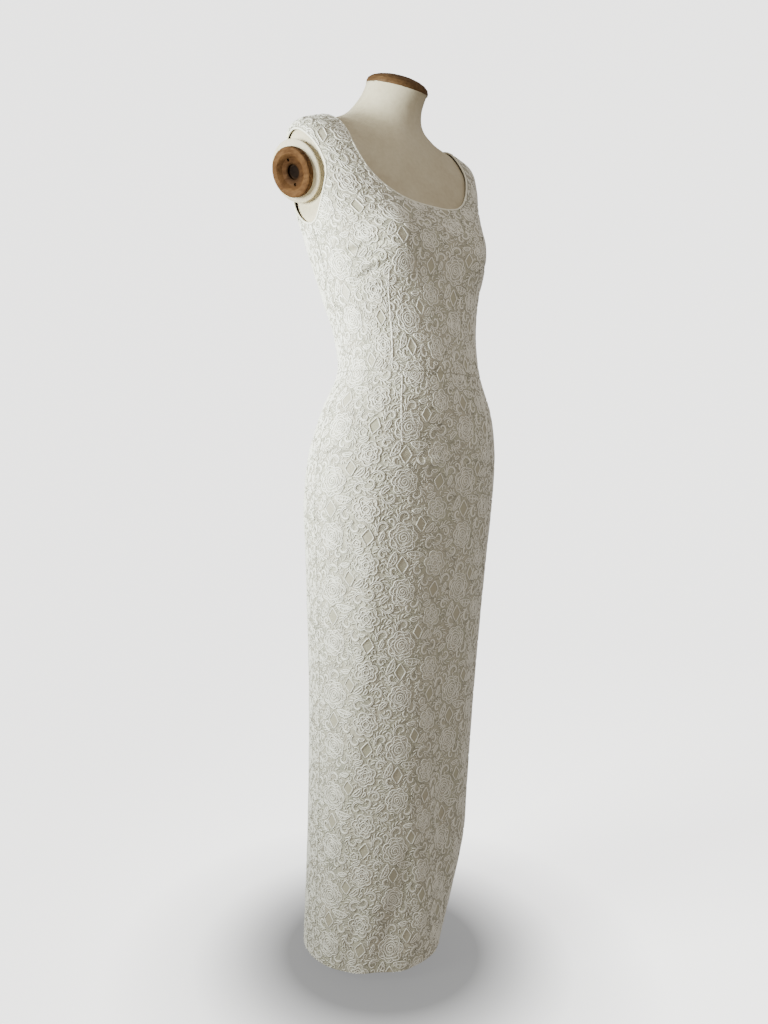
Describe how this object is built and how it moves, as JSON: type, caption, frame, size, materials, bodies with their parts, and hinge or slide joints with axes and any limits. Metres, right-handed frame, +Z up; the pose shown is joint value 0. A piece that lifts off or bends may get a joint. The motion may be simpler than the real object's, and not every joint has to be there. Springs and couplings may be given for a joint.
{
  "type": "wedding dress on dress form",
  "caption": "Sleeveless floor-length column wedding dress of corded floral lace with a scooped neck, on a limbless canvas dress form with turned wood neck cap and arm rings.",
  "frame": {"origin": "centre of the stand's underside, on the floor", "axes": "+Z up the pole; the wearer's front faces -Y and the wearer's left is +X"},
  "size_m": [0.3976, 0.2856, 1.4535],
  "materials": {
    "ivory_lace": "ivory corded floral lace laid over satin, soft sheen",
    "ivory_binding": "narrow ivory satin binding",
    "zip_tape": "ivory woven tape",
    "zip_metal": "small bright slider and pull",
    "form_canvas": "bare matt canvas drawn over the form",
    "turned_wood": "turned and stained, satin",
    "cap_wood": "dark stained, satin",
    "stand_steel": "black painted steel"
  },
  "bodies": {
    "dressed_form": {"bodice_front": "ivory_lace", "bodice_back_left": "ivory_lace", "bodice_back_right": "ivory_lace", "skirt_front": "ivory_lace", "skirt_back_left": "ivory_lace", "skirt_back_right": "ivory_lace", "neckline_binding": "ivory_binding", "armhole_binding_left": "ivory_binding", "armhole_binding_right": "ivory_binding", "zip_tape": "zip_tape", "zip_slider": "zip_metal", "form_torso": "form_canvas", "form_arm_stump_left": "form_canvas", "form_arm_stump_right": "form_canvas", "form_arm_ring_left": "turned_wood", "form_arm_ring_right": "turned_wood", "form_neck_cap": "cap_wood", "form_pole": "stand_steel", "form_base": "stand_steel"},
    "pull": {"zip_pull": "zip_metal"}
  },
  "joints": [
    {"name": "pull_tab", "type": "hinge", "parent": "dressed_form", "child": "pull", "pos_m": [0, 0.13162, 1.32654], "axis": [1, 0, 0], "range_deg": [0, 165]}
  ]
}
